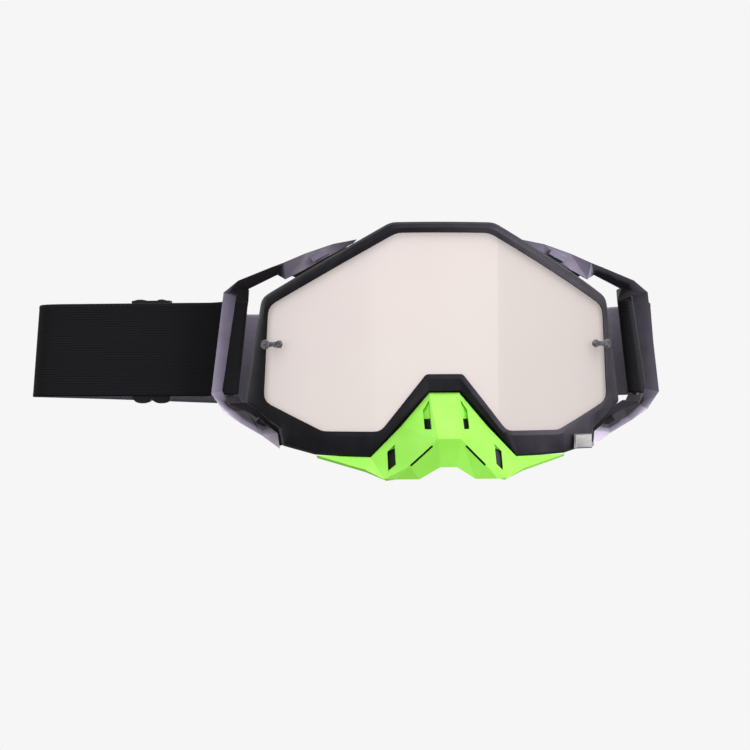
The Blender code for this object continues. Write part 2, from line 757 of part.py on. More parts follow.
def ribbon(name, points, width, thickness, look, middle=0.0, shift=0.0):
    """A flat band along a run of points, standing on edge, which leans with the bars near them."""
    bar = spot(*STRAP_BAR, 0)
    rings = []
    for point, normal in zip(points, plan_normals(points)):
        away = hypot(abs(point.x) - bar.x, point.y - bar.y)
        share = min(max(1 - (away - 8 * MM) / (22 * MM), 0), 1)
        ring = []
        for across_band, level in ((-1, -1), (-1, 1), (1, 1), (1, -1)):
            z = point.z + middle + level * width / 2
            out = normal * (shift + across_band * thickness / 2)
            ring.append(Vector((point.x + share * lean(point.x, z), point.y, z)) + out)
        rings.append(ring)
    return loft(name, rings, look, closed=False)


def make_strap():
    ribbon("strap", strap_route(), STRAP_WIDTH, STRAP_THICKNESS, STRAP_ELASTIC)


def make_grip_lines():
    """Beads of silicone along the strap's inner face, behind the head."""
    _, _, rear, right, _ = strap_parts()
    run = smooth(rear[-4:] + right[:1], ROUTE_STEPS)
    shift = -(STRAP_THICKNESS / 2 + CLEARANCE + GRIP_HEIGHT / 2)
    for name, share in (("lower", -0.28), ("middle", 0), ("upper", 0.28)):
        ribbon("grip_line_" + name, run, GRIP_WIDTH, GRIP_HEIGHT, SILICONE, share * STRAP_WIDTH, shift)


def run_at(run, x):
    """The place on a run at x, and the run's direction there."""
    for near, far in zip(run, run[1:]):
        if min(near.x, far.x) <= x <= max(near.x, far.x):
            return near.lerp(far, (x - near.x) / (far.x - near.x)), (far - near).normalized()
    return run[0], (run[1] - run[0]).normalized()


def make_slider(word, run):
    """A ladder buckle on the strap's doubled end: two rails in front of the tail and a bar behind it."""
    x, z = SLIDER_PLACES[word]
    middle, direction = run_at(run, across(x * MM))
    middle.z = z * MM
    turn = Matrix.Rotation(atan2(direction.y, direction.x), 4, "Z")
    axes = Matrix.Translation(middle) @ turn
    rail_side = 1 if word == "right" else -1
    channel = STRAP_THICKNESS + 2 * CLEARANCE
    depth = channel + 2 * SLIDER_BAR
    height = STRAP_WIDTH + 2 * SLIDER_MARGIN
    slot_height = STRAP_WIDTH + 2 * CLEARANCE
    window = SLIDER_LENGTH - 2 * SLIDER_RAIL
    side_window = (window - SLIDER_RAIL) / 2
    side_x = (SLIDER_RAIL + side_window) / 2
    slider = block("slider_" + word, (SLIDER_LENGTH, depth, height), middle, turn, OUTRIGGER_PLASTIC)
    cuts = [
        (Vector(), (2 * SLIDER_LENGTH, channel, slot_height)),
        (Vector((0, rail_side * depth / 2, 0)), (window, depth, slot_height - SLIDER_MARGIN)),
        (Vector((side_x, -rail_side * depth / 2, 0)), (side_window, depth, slot_height - SLIDER_MARGIN)),
        (Vector((-side_x, -rail_side * depth / 2, 0)), (side_window, depth, slot_height - SLIDER_MARGIN)),
    ]
    for place_in, size in cuts:
        boolean(slider, block("slider_cut", size, axes @ place_in, turn, OUTRIGGER_PLASTIC))


def main():
    frame = make_frame()
    lens = make_lens()
    make_vents(frame)
    for side, word in SIDES:
        make_post("tear_off_post_" + word, side, lens)
        make_outrigger(side, word, frame)
    make_face_foam()
    make_nose_guard()
    make_badge()
    make_strap()
    make_grip_lines()
    left_tail, _, _, _, right_tail = strap_parts()
    make_slider("left", left_tail)
    make_slider("right", right_tail)


main()
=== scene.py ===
"""Looks of the off-road riding goggles: finishes, fine shapes, soft parts, light and camera.

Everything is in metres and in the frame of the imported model: -Y is the way the wearer looks, +X is the
right of someone facing the goggles, and +Z is up.
"""

import json
from math import asin, cos, hypot, pi, radians, sin

import bmesh
import bpy
from mathutils import Matrix, Vector, noise
from mathutils.bvhtree import BVHTree

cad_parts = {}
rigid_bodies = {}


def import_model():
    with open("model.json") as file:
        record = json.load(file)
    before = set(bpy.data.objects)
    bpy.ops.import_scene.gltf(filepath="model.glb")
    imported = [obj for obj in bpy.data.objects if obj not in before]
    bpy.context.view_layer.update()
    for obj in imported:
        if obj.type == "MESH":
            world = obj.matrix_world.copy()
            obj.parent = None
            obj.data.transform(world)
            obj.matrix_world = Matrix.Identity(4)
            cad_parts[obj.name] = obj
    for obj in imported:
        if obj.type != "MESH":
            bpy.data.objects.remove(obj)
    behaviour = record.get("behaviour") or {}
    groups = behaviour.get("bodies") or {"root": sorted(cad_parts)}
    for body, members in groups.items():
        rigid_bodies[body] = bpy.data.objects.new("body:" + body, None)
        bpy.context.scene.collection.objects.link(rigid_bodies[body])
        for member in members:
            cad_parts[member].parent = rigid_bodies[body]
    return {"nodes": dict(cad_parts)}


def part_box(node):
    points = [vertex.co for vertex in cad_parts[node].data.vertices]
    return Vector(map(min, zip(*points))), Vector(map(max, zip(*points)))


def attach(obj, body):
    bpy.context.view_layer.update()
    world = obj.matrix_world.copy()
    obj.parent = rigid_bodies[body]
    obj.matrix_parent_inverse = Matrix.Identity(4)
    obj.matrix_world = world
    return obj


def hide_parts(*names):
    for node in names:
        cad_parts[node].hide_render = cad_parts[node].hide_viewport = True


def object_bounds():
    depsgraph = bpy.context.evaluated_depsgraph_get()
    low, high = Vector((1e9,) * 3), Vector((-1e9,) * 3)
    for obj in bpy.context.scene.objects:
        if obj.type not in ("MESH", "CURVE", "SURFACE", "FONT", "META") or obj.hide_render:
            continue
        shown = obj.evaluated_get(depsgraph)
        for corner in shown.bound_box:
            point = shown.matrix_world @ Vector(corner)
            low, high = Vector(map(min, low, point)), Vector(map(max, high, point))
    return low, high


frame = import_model()
CAD_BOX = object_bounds()

MM = 0.001
SIDES = ((-1, "left"), (1, "right"))
ROOT = "goggles"


# ---- node and colour helpers --------------------------------------------------------------------------
def linear(hex_colour):
    """An sRGB hex colour as linear RGBA."""
    parts = [int(hex_colour[i : i + 2], 16) / 255 for i in (1, 3, 5)]
    return (*(c / 12.92 if c <= 0.04045 else ((c + 0.055) / 1.055) ** 2.4 for c in parts), 1.0)


def add(tree, kind, inputs=None, stops=(), **settings):
    """Adds a node with its settings, and sets its inputs or links them to other nodes' outputs.

    A colour ramp also gets its stops, as (position, linear colour).
    """
    made = tree.nodes.new("ShaderNode" + kind)
    for key, value in settings.items():
        setattr(made, key, value)
    for key, value in (inputs or {}).items():
        if isinstance(value, bpy.types.NodeSocket):
            tree.links.new(value, made.inputs[key])
        else:
            made.inputs[key].default_value = value
    if stops:
        elements = made.color_ramp.elements
        while len(elements) < len(stops):
            elements.new(0.5)
        for element, (position, colour) in zip(elements, stops):
            element.position, element.color = position, colour
    return made


def surface(name, **values):
    """A material with a Principled shader, whose even values are set on its own sockets."""
    made = bpy.data.materials.new(name)
    made.use_nodes = True
    tree = made.node_tree
    shader = tree.nodes["Principled BSDF"]
    for key, value in values.items():
        shader.inputs[key.replace("_", " ")].default_value = value
    made.diffuse_color = values.get("Base_Color", (0.5, 0.5, 0.5, 1))
    return made, tree, shader


def mottled(tree, shader, dark, light, size):
    """Base colour that drifts between two tones over patches of that size."""
    place = add(tree, "TexCoord").outputs["Object"]
    patches = add(tree, "TexNoise", {"Vector": place, "Scale": 1 / size, "Detail": 3.0})
    stops = [(0.35, linear(dark)), (0.65, linear(light))]
    tone = add(tree, "ValToRGB", {"Fac": patches.outputs["Fac"]}, stops)
    tree.links.new(tone.outputs["Color"], shader.inputs["Base Color"])


def grained(tree, shader, size, depth, detail=2.0, strength=1.0):
    """Fine moulded grain: bumps of that size and depth."""
    place = add(tree, "TexCoord").outputs["Object"]
    grain = add(tree, "TexNoise", {"Vector": place, "Scale": 1 / size, "Detail": detail})
    bump = add(tree, "Bump", {"Height": grain.outputs["Fac"], "Distance": depth, "Strength": strength})
    tree.links.new(bump.outputs["Normal"], shader.inputs["Normal"])


def uneven_gloss(tree, shader, size, low, high):
    """Roughness that varies as handled plastic does."""
    place = add(tree, "TexCoord").outputs["Object"]
    smears = add(tree, "TexNoise", {"Vector": place, "Scale": 1 / size, "Detail": 4.0})
    share = add(tree, "MapRange", {"Value": smears.outputs["Fac"], "To Min": low, "To Max": high})
    tree.links.new(share.outputs["Result"], shader.inputs["Roughness"])


# ---- materials ----------------------------------------------------------------------------------------
LAVENDER_GLEAM = linear("#E6E0EC")


def frame_rubber():
    """Soft moulded urethane, matte black: a fine spark grain spreads its highlights to a violet grey."""
    made, tree, shader = surface(
        "moulded_urethane_black", Specular_Tint=LAVENDER_GLEAM, Specular_IOR_Level=0.13
    )
    mottled(tree, shader, "#151417", "#1C1B1F", size=9 * MM)
    grained(tree, shader, size=0.35 * MM, depth=0.02 * MM)
    uneven_gloss(tree, shader, size=14 * MM, low=0.42, high=0.52)
    return made


def outrigger_black():
    """Glass-filled nylon, moulded black: harder and a little smoother than the frame."""
    made, tree, shader = surface(
        "moulded_nylon_black", Specular_Tint=LAVENDER_GLEAM, Specular_IOR_Level=0.16
    )
    mottled(tree, shader, "#161518", "#1E1D21", size=7 * MM)
    grained(tree, shader, size=0.3 * MM, depth=0.012 * MM)
    uneven_gloss(tree, shader, size=10 * MM, low=0.36, high=0.46)
    return made


def satin_lacquer_and_painted_light():
    """Satin lavender-grey lacquer, sprayed on the outriggers' faces and fading out into the bare black; how
    light it is across each face is partly painted light and shade.
    """
    made, tree, shader = surface(
        "satin_lacquer_lavender", Specular_Tint=LAVENDER_GLEAM, Specular_IOR_Level=0.3
    )
    # The share at each point sets where the lacquer lies, and also paints light and shade into its tone.
    spray = add(tree, "Attribute", attribute_name="spray")
    place = add(tree, "TexCoord").outputs["Object"]
    drift = add(tree, "TexNoise", {"Vector": place, "Scale": 1 / (6 * MM), "Detail": 4.0})
    uneven = {0: drift.outputs["Fac"], 1: 0.16, 2: spray.outputs["Fac"]}
    share = add(tree, "Math", uneven, operation="MULTIPLY_ADD")
    tones = [(0.3, "#131215"), (0.38, "#45424D"), (0.75, "#6E6976"), (1.0, "#A49EA9")]
    stops = [(position, linear(colour)) for position, colour in tones]
    tone = add(tree, "ValToRGB", {"Fac": share.outputs[0]}, stops)
    tree.links.new(tone.outputs["Color"], shader.inputs["Base Color"])
    grained(tree, shader, size=0.25 * MM, depth=0.008 * MM)
    uneven_gloss(tree, shader, size=12 * MM, low=0.3, high=0.4)
    return made


def lime_nylon():
    """Lime-green moulded nylon: an even body colour that glows a little in thin walls."""
    made, tree, shader = surface(
        "moulded_nylon_lime",
        Subsurface_Weight=0.15,
        Subsurface_Scale=2 * MM,
        Subsurface_Radius=(0.5, 1.0, 0.2),
        Specular_IOR_Level=0.42,
    )
    mottled(tree, shader, "#94E64A", "#9EEC58", size=16 * MM)
    grained(tree, shader, size=0.3 * MM, depth=0.01 * MM)
    uneven_gloss(tree, shader, size=12 * MM, low=0.38, high=0.48)
    return made


def mirror_coating():
    """Rose-silver mirror, vacuum-coated on polycarbonate: it shows the room, warm and slightly softened."""
    made, tree, shader = surface("mirror_coated_polycarbonate", Metallic=0.45, Specular_IOR_Level=0.4)
    mottled(tree, shader, "#F2E6E3", "#F4E9E5", size=60 * MM)
    uneven_gloss(tree, shader, size=40 * MM, low=0.1, high=0.14)
    return made


def lens_inside():
    """The lens's inner face: clear hard-coated polycarbonate, smoky before the mirror's back."""
    made, tree, shader = surface("hard_coated_polycarbonate", Metallic=0.2)
    mottled(tree, shader, "#57494C", "#5F5054", size=50 * MM)
    uneven_gloss(tree, shader, size=40 * MM, low=0.06, high=0.1)
    return made


def smoke_clear():
    """Smoke-clear polycarbonate, moulded and polished: its grey drifts at random between dark and pale in
    patches 1.4 mm wide.
    """
    made, tree, shader = surface("smoke_polycarbonate", Transmission_Weight=0.2, IOR=1.58)
    mottled(tree, shader, "#343237", "#85818A", size=1.4 * MM)
    uneven_gloss(tree, shader, size=3 * MM, low=0.08, high=0.18)
    return made


# Distance between the strap's ribs, and between its picks of weft; a pick is lower than a rib by that share.
RIB_PITCH = 1.15 * MM
PICK_PITCH = 0.9 * MM
PICK_SHARE = 0.45


def webbing():
    """Woven polyester elastic: matte near-black yarn in fine ribs along the strap, crossed by weft."""
    made, tree, shader = surface(
        "woven_elastic_black", Sheen_Weight=0.03, Sheen_Roughness=0.5, Specular_IOR_Level=0.1, Roughness=0.82
    )
    # The UV map is in metres, with Y across the strap and X along it.
    place = add(tree, "UVMap", uv_map="weave").outputs["UV"]
    split = add(tree, "SeparateXYZ", {"Vector": place})
    ribs = add(tree, "Math", {0: split.outputs["Y"], 1: 2 * pi / RIB_PITCH}, operation="MULTIPLY")
    rib = add(tree, "Math", {0: ribs.outputs[0]}, operation="SINE")
    picks = add(tree, "Math", {0: split.outputs["X"], 1: 2 * pi / PICK_PITCH}, operation="MULTIPLY")
    shift = add(tree, "Math", {0: rib.outputs[0], 1: 1.6, 2: picks.outputs[0]}, operation="MULTIPLY_ADD")
    pick = add(tree, "Math", {0: shift.outputs[0]}, operation="SINE")
    raised = {0: pick.outputs[0], 1: PICK_SHARE, 2: rib.outputs[0]}
    height = add(tree, "Math", raised, operation="MULTIPLY_ADD")
    most = 1 + PICK_SHARE
    level = add(tree, "MapRange", {"Value": height.outputs[0], "From Min": -most, "From Max": most})
    # Painted shade: the weave is darker where it lies low, between the ribs and under the picks.
    stops = [(0.1, linear("#0A0A0C")), (0.9, linear("#141316"))]
    tone = add(tree, "ValToRGB", {"Fac": level.outputs["Result"]}, stops)
    tree.links.new(tone.outputs["Color"], shader.inputs["Base Color"])
    bump = add(tree, "Bump", {"Height": level.outputs["Result"], "Distance": 0.14 * MM, "Strength": 0.7})
    tree.links.new(bump.outputs["Normal"], shader.inputs["Normal"])
    return made


def webbing_inside():
    """The strap's inner face: undyed lavender-grey yarn, in bars drawn 2.4 mm apart so that they show."""
    made, tree, shader = surface(
        "woven_elastic_lining",
        Sheen_Weight=0.15,
        Sheen_Roughness=0.5,
        Specular_IOR_Level=0.25,
        Roughness=0.75,
    )
    yarn = {
        "Vector": add(tree, "UVMap", uv_map="weave").outputs["UV"],
        "Scale": 1 / (2.4 * MM),
        "Color1": linear("#77727F"),
        "Color2": linear("#6E6976"),
        "Mortar": linear("#645F6C"),
        "Mortar Size": 0.03,
    }
    weave = add(tree, "TexBrick", yarn, offset=0.5)
    tree.links.new(weave.outputs["Color"], shader.inputs["Base Color"])
    relief = {"Height": weave.outputs["Fac"], "Distance": 0.1 * MM, "Strength": 0.5}
    bump = add(tree, "Bump", relief, invert=True)
    tree.links.new(bump.outputs["Normal"], shader.inputs["Normal"])
    return made


def open_cell_foam(name, dark, light):
    """Open-cell polyurethane foam: small pores, drawn 1.2 mm wide so that they show, painted dark where the
    surface lies low between cells, as painted shade.
    """
    made, tree, shader = surface(name, Roughness=0.95, Sheen_Weight=0.1, Specular_IOR_Level=0.1)
    place = add(tree, "TexCoord").outputs["Object"]
    cells = add(tree, "TexVoronoi", {"Vector": place, "Scale": 1 / (1.2 * MM)})
    # Painted shade: darker away from the cells' middles, where the surface lies low.
    stops = [(0.05, linear(light)), (0.55, linear(dark))]
    tone = add(tree, "ValToRGB", {"Fac": cells.outputs["Distance"]}, stops)
    tree.links.new(tone.outputs["Color"], shader.inputs["Base Color"])
    relief = {"Height": cells.outputs["Distance"], "Distance": 0.3 * MM, "Strength": 0.8}
    bump = add(tree, "Bump", relief, invert=True)
    tree.links.new(bump.outputs["Normal"], shader.inputs["Normal"])
    return made


def brushed_fleece():
    """Polyester fleece, brushed: a soft nap that catches light at its edges."""
    made, tree, shader = surface(
        "brushed_fleece", Roughness=1.0, Sheen_Weight=0.6, Sheen_Roughness=0.45, Specular_IOR_Level=0.1
    )
    mottled(tree, shader, "#1E1D21", "#302E34", size=1.6 * MM)
    grained(tree, shader, size=0.7 * MM, depth=0.35 * MM, detail=6.0, strength=0.8)
    return made


def satin_steel():
    """Zinc-plated steel pins, tumbled smooth."""
    made, tree, shader = surface("plated_steel", Metallic=1.0)
    mottled(tree, shader, "#9A9A9E", "#B4B4B8", size=3 * MM)
    uneven_gloss(tree, shader, size=2 * MM, low=0.25, high=0.4)
    return made


def brushed_plate():
    """Anodised aluminium plate, brushed along its length in scratches drawn 0.2 mm apart."""
    made, tree, shader = surface("brushed_aluminium", Metallic=0.85, Roughness=0.32)
    place = add(tree, "TexCoord").outputs["Object"]
    streaks = add(tree, "Mapping", {"Vector": place, "Scale": (0.06, 0.06, 1.0)}).outputs["Vector"]
    lines = add(tree, "TexNoise", {"Vector": streaks, "Scale": 1 / (0.2 * MM), "Detail": 2.0})
    stops = [(0.3, linear("#CFCBCC")), (0.7, linear("#F2EFEF"))]
    tone = add(tree, "ValToRGB", {"Fac": lines.outputs["Fac"]}, stops)
    tree.links.new(tone.outputs["Color"], shader.inputs["Base Color"])
    bump = add(tree, "Bump", {"Height": lines.outputs["Fac"], "Distance": 0.02 * MM, "Strength": 0.6})
    tree.links.new(bump.outputs["Normal"], shader.inputs["Normal"])
    return made


def silicone():
    """Clear silicone beads printed on the strap: glossy and slightly grey."""
    made, tree, shader = surface("silicone_bead", Subsurface_Weight=0.2, Subsurface_Scale=1 * MM)
    mottled(tree, shader, "#8E8C92", "#A5A3A9", size=5 * MM)
    uneven_gloss(tree, shader, size=4 * MM, low=0.25, high=0.35)
    return made


URETHANE = frame_rubber()
NYLON = outrigger_black()
LACQUER_AND_PAINTED_LIGHT = satin_lacquer_and_painted_light()
LIME = lime_nylon()
MIRROR = mirror_coating()
LENS_INSIDE = lens_inside()
SMOKE = smoke_clear()
WEBBING = webbing()
LINING = webbing_inside()
FOAM = open_cell_foam("open_cell_foam", "#0E0E10", "#2B2A2E")
VENT_FOAM = open_cell_foam("vent_foam", "#0A0A0B", "#232226")
FLEECE = brushed_fleece()
STEEL = satin_steel()
PLATE = brushed_plate()
SILICONE = silicone()


# ---- mesh helpers -------------------------------------------------------------------------------------
def merged_copy(node):
    """A CAD node's solid as a bmesh, with its loose triangles joined into flat faces."""
    bm = bmesh.new()
    bm.from_mesh(frame["nodes"][node].data)
    bmesh.ops.remove_doubles(bm, verts=bm.verts, dist=0.002 * MM)
    bmesh.ops.dissolve_limit(bm, angle_limit=radians(0.6), verts=bm.verts, edges=bm.edges)
    return bm


# The mirror shows the room, but none of the pieces whose names start with these words.
UNMIRRORED = ("frame_shell", "post_", "outrigger_shell", "strap_elastic", "slider", "cheek_web", "brow_web")


def finished(name, bm, looks, body=ROOT, stands_for=(), sharp=35):
    """Turns a bmesh into a piece that rides on its body, smooth where its faces meet at a small angle."""
    mesh = bpy.data.meshes.new(name)
    bm.to_mesh(mesh)
    bm.free()
    for look in looks:
        mesh.materials.append(look)
    mesh.shade_smooth()
    mesh.set_sharp_from_angle(angle=radians(sharp))
    obj = bpy.data.objects.new(name, mesh)
    bpy.context.scene.collection.objects.link(obj)
    obj.visible_glossy = not name.startswith(UNMIRRORED)
    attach(obj, body)
    if stands_for:
        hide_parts(*stands_for)
    return obj


def rounded(obj, width, segments=3, angle=32):
    """Rounds an edge as a mould or a cutter leaves it."""
    bevel = obj.modifiers.new("rounded_edges", "BEVEL")
    bevel.width = width
    bevel.segments = segments
    bevel.limit_method = "ANGLE"
    bevel.angle_limit = radians(angle)
    bevel.miter_outer = "MITER_ARC"
    bevel.harden_normals = True
    bevel.use_clamp_overlap = True


def remade(obj, voxel, smoothing):
    """Rebuilds a soft solid in even cells and rounds it, so that it bulges as foam does."""
    remesh = obj.modifiers.new("cells", "REMESH")
    remesh.mode = "VOXEL"
    remesh.voxel_size = voxel
    relax = obj.modifiers.new("relax", "SMOOTH")
    relax.factor = 0.5
    relax.iterations = smoothing
    graph = bpy.context.evaluated_depsgraph_get()
    mesh = bpy.data.meshes.new_from_object(obj.evaluated_get(graph))
    obj.modifiers.clear()
    old = obj.data
    obj.data = mesh
    bpy.data.meshes.remove(old)
    mesh.shade_smooth()


def ruffled(obj, size, depth):
    """Moves a surface in and out a little, in soft patches of that size."""
    normals = [vertex.normal.copy() for vertex in obj.data.vertices]
    for vertex, normal in zip(obj.data.vertices, normals):
        vertex.co += normal * depth * noise.noise(vertex.co / size)


def add_wall(bm, corners, thickness):
    """Adds a flat wall with those corners, thickened backwards."""
    verts = [bm.verts.new(corner) for corner in corners]
    made = bmesh.ops.contextual_create(bm, geom=verts)["faces"]
    made = bmesh.ops.extrude_face_region(bm, geom=made)["geom"]
    moved = [item for item in made if isinstance(item, bmesh.types.BMVert)]
    bmesh.ops.translate(bm, verts=moved, vec=(0, thickness, 0))


def in_front(x, z):
    """A point well in front of the goggles, from which a ray is cast backwards."""
    return Vector((x, -0.2, z))


# ---- frame, outriggers, nose guard and small hard parts -----------------------------------------------
BACKWARDS = Vector((0, 1, 0))
# A face looks forwards or backwards once its normal leans that way by this much.
FACING = 0.3


def make_frame():
    """The moulded frame, with its edges rounded."""
    bm = merged_copy("frame")
    obj = finished("frame_shell", bm, [URETHANE], stands_for=["frame"])
    rounded(obj, width=0.45 * MM)


# Corners of an outrigger's front face in mm as (|x|, y, z), with the tone painted at each: how thickly it is
# lacquered, and lighter or darker as painted light and shade.
TONED_CORNERS = [
    (39.0, -20.9, 49.0, 0.4),
    (40.5, -19.9, 47.4, 0.48),
    (50.0, -19.4, 47.0, 0.52),
    (51.0, -16.9, 42.0, 0.68),
    (63.0, -17.4, 42.7, 0.52),
    (63.5, -14.9, 35.2, 0.68),
    (73.5, -15.4, 38.4, 0.36),
    (72.5, -11.4, 30.9, 0.52),
    (79.0, -14.4, 36.4, 0.2),
    (76.2, -9.4, 33.2, -0.1),
    (94.7, -12.4, 30.2, 0.2),
    (90.0, -6.4, 26.6, -0.2),
    (101.7, -11.4, 24.6, 0.4),
    (96.0, -3.4, 23.4, 0.3),
    (107.8, -8.4, -23.2, 0.65),
    (102.9, -3.1, -22.0, 0.4),
    (102.1, -7.9, -31.8, 1.0),
    (99.3, -2.9, -29.2, 0.1),
    (94.0, -7.4, -37.4, 0.7),
    (91.5, -1.9, -31.4, -0.5),
    (84.0, -6.9, -43.3, 0.75),
    (83.4, -3.4, -37.0, -0.4),
    (75.4, -8.6, -49.6, 1.0),
    (76.4, -6.5, -42.4, 0.8),
]
# A point this near to a corner takes its value, and one this far from every corner stays bare.
TONE_NEAR = 1.5 * MM
TONE_FAR = 14 * MM
# The tabs, which lie further than this from every corner, get a thinner coat.
TAB_AWAY = 3 * MM
TAB_COAT = 0.78
# Above this height the left brow plate is painted lighter than the right one, a painted highlight, and the
# lacquer tone reaches further along the right arm, painted light from the right.
UPPER_ARM = 22 * MM
BROW_PLATE_END = 74 * MM
BROW_PAINTED_LIGHT = {"left": 1.25, "right": 1.0}
ARM_PAINTED_LIGHT = {"left": 0.0, "right": 0.22}
# The webs at the ends of a strap bar lie in this range of |x|, behind this y. Each is drawn towards the strap
# by so many mm, listed by its height in mm.
BAR_WEB_RANGE = (90 * MM, 103 * MM)
BAR_WEB_FRONT = -1 * MM
BAR_WEB_REACH = {23: -1.9, -27: 2.4}


def nearest_toned_corners(point):
    """The listed corners nearest to a point, as (how far, tone: lacquer with painted light and shade)."""
    spot = Vector((abs(point.x), point.y, point.z))
    return sorted(((spot - Vector(row[:3]) * MM).length, row[3]) for row in TONED_CORNERS)[:3]


def tone_at(point):
    """The outrigger's tone at a point, lacquer with painted light and shade, from the listed corners round
    it.
    """
    near = nearest_toned_corners(point)
    if near[0][0] < TONE_NEAR:
        return near[0][1]
    if near[0][0] > TONE_FAR:
        return 0.0
    return sum(share / away**2 for away, share in near) / sum(1 / away**2 for away, _ in near)


def make_outrigger(word):
    """The arm's faces that look forwards are lacquered, their tone carrying painted light and shade; the rest
    is bare black.
    """
    bm = merged_copy("outrigger_" + word)
    spray = bm.loops.layers.float.new("spray")
    for vert in bm.verts:
        if BAR_WEB_RANGE[0] < abs(vert.co.x) < BAR_WEB_RANGE[1] and vert.co.y > BAR_WEB_FRONT:
            vert.co.z += BAR_WEB_REACH.get(round(vert.co.z / MM), 0) * MM
    for face in bm.faces:
        if face.normal.y > -FACING:
            continue
        on_tab = min(nearest_toned_corners(vert.co)[0][0] for vert in face.verts) > TAB_AWAY
        coat = TAB_COAT if on_tab else 1
        shares = [tone_at(loop.vert.co) * coat for loop in face.loops]
        centre = face.calc_center_median()
        # Painted light: the left brow plate and the right upper arm are made lighter than their twins.
        if centre.z > UPPER_ARM and abs(centre.x) < BROW_PLATE_END:
            shares = [share * BROW_PAINTED_LIGHT[word] for share in shares]
        elif centre.z > UPPER_ARM:
            shares = [share + ARM_PAINTED_LIGHT[word] for share in shares]
        if max(shares) > 0:
            face.material_index = 1
            for loop, share in zip(face.loops, shares):
                loop[spray] = share
    name, looks, node = "outrigger_shell_" + word, [NYLON, LACQUER_AND_PAINTED_LIGHT], "outrigger_" + word
    obj = finished(name, bm, looks, stands_for=[node], sharp=20)
    rounded(obj, width=0.4 * MM, segments=2)


# Thin walls of the frame behind the outriggers' arms, seen from the front in mm as (|x|, z). WEBS gives each
# its y at its innermost and its outermost corner.
CHEEK_WEB = [
    (71.0, -47.0),
    (75.5, -48.6),
    (84.0, -42.2),
    (94.0, -36.2),
    (100.5, -31.0),
    (99.0, -27.6),
    (91.5, -27.4),
    (86.0, -31.0),
    (79.0, -37.0),
    (71.5, -40.0),
]
BROW_WEB = [(40.0, 47.0), (51.0, 43.6), (63.5, 37.0), (70.5, 33.2), (66.0, 31.0), (52.0, 38.5), (41.0, 45.0)]
WEBS = {"cheek_web": (CHEEK_WEB, -2.2, -2.2), "brow_web": (BROW_WEB, -15.0, -9.6)}
WEB_THICKNESS = 1.8 * MM


def make_web(name, corners, near_depth, far_depth, side):
    """A thin wall that closes the corner between an arm and the frame."""
    bm = bmesh.new()
    near, far = corners[0][0], max(x for x, _ in corners)
    placed = []
    for x, z in corners:
        y = near_depth + (far_depth - near_depth) * (x - near) / (far - near)
        placed.append((side * x * MM, y * MM, z * MM))
    add_wall(bm, placed, WEB_THICKNESS)
    bmesh.ops.recalc_face_normals(bm, faces=bm.faces)
    rounded(finished(name, bm, [URETHANE]), width=0.4 * MM)


# Each pocket behind a window of the nose guard: its slope's corners, seen from the front in mm as (|x|, z).
POCKETS = {
    "upper": [(6.6, -25.0), (10.9, -30.6), (10.9, -36.2), (6.6, -36.2)],
    "lower": [(22.4, -45.6), (27.0, -49.6), (27.0, -55.4), (22.4, -53.6)],
}
# A pocket's slope starts this far behind the guard's skin, and falls back by a share of its depth at each
# corner.
POCKET_TOP = 1.2 * MM
POCKET_DEPTH = 3.4 * MM
POCKET_SHARES = (0, 0.25, 1, 1)
POCKET_WALL = 0.8 * MM
# Where a corner lies over a hole in the skin, the skin is taken to lie this far behind the ray's start.
SKIN_DISTANCE = 0.155
# The wings are raised from this |x| outwards, fully after a further stretch, and above this height.
WING_START = 29 * MM
WING_STRETCH = 5 * MM
WING_FLOOR = -55.8 * MM
WING_RISE = 1.1 * MM


def make_nose_guard():
    """The lime guard with raised wings, and a sloping pocket behind each of its windows."""
    bm = merged_copy("nose_guard")
    tree = BVHTree.FromBMesh(bm)
    for vert in bm.verts:
        reach = min(max((abs(vert.co.x) - WING_START) / WING_STRETCH, 0), 1)
        if vert.co.z > WING_FLOOR:
            vert.co.z += WING_RISE * reach
    for corners in POCKETS.values():
        for side, _ in SIDES:
            slope = []
            for (x, z), share in zip(corners, POCKET_SHARES):
                start = in_front(side * x * MM, z * MM)
                hit = tree.ray_cast(start, BACKWARDS)[0] or start + BACKWARDS * SKIN_DISTANCE
                slope.append(hit + BACKWARDS * (POCKET_TOP + POCKET_DEPTH * share))
            add_wall(bm, slope, POCKET_WALL)
    bmesh.ops.recalc_face_normals(bm, faces=bm.faces)
    node = "nose_guard"
    obj = finished(node + "_shell", bm, [LIME], node, [node], sharp=12)
    rounded(obj, width=0.5 * MM, angle=14)


# The right half of the guard's front skin in mm; the frame's skirt lies close behind it.
GUARD_POINTS = {
    "crest": (0, -37.3, -23.0),
    "crest_end": (6.9, -37.3, -23.0),
    "ridge": (0, -59.2, -43.3),
    "ridge_end": (5.1, -58.9, -43.3),
    "notch": (0, -54.1, -56.3),
    "notch_end": (3.8, -53.9, -56.3),
    "foot_inner": (12.7, -49.7, -61.9),
    "foot_crease": (23.2, -46.9, -62.1),
    "foot_outer": (28.3, -43.3, -62.2),
    "slit_end": (17.6, -52.1, -56.0),
    "edge": (19.9, -36.7, -38.4),
    "wing_root": (33.8, -33.9, -53.7),
}
SKIRT_FACETS = [
    ("crest", "ridge", "ridge_end", "crest_end"),
    ("ridge", "notch", "notch_end", "ridge_end"),
    ("ridge_end", "notch_end", "foot_inner", "foot_crease", "slit_end"),
    ("crest_end", "ridge_end", "edge"),
    ("ridge_end", "slit_end", "edge"),
    ("edge", "slit_end", "foot_outer", "wing_root"),
    ("slit_end", "foot_crease", "foot_outer"),
]
SKIRT_GAP = 2.9 * MM
# A vertex isn't pushed further than this many gaps, however sharp the corner it lies on.
MOST_PUSH = 1.1
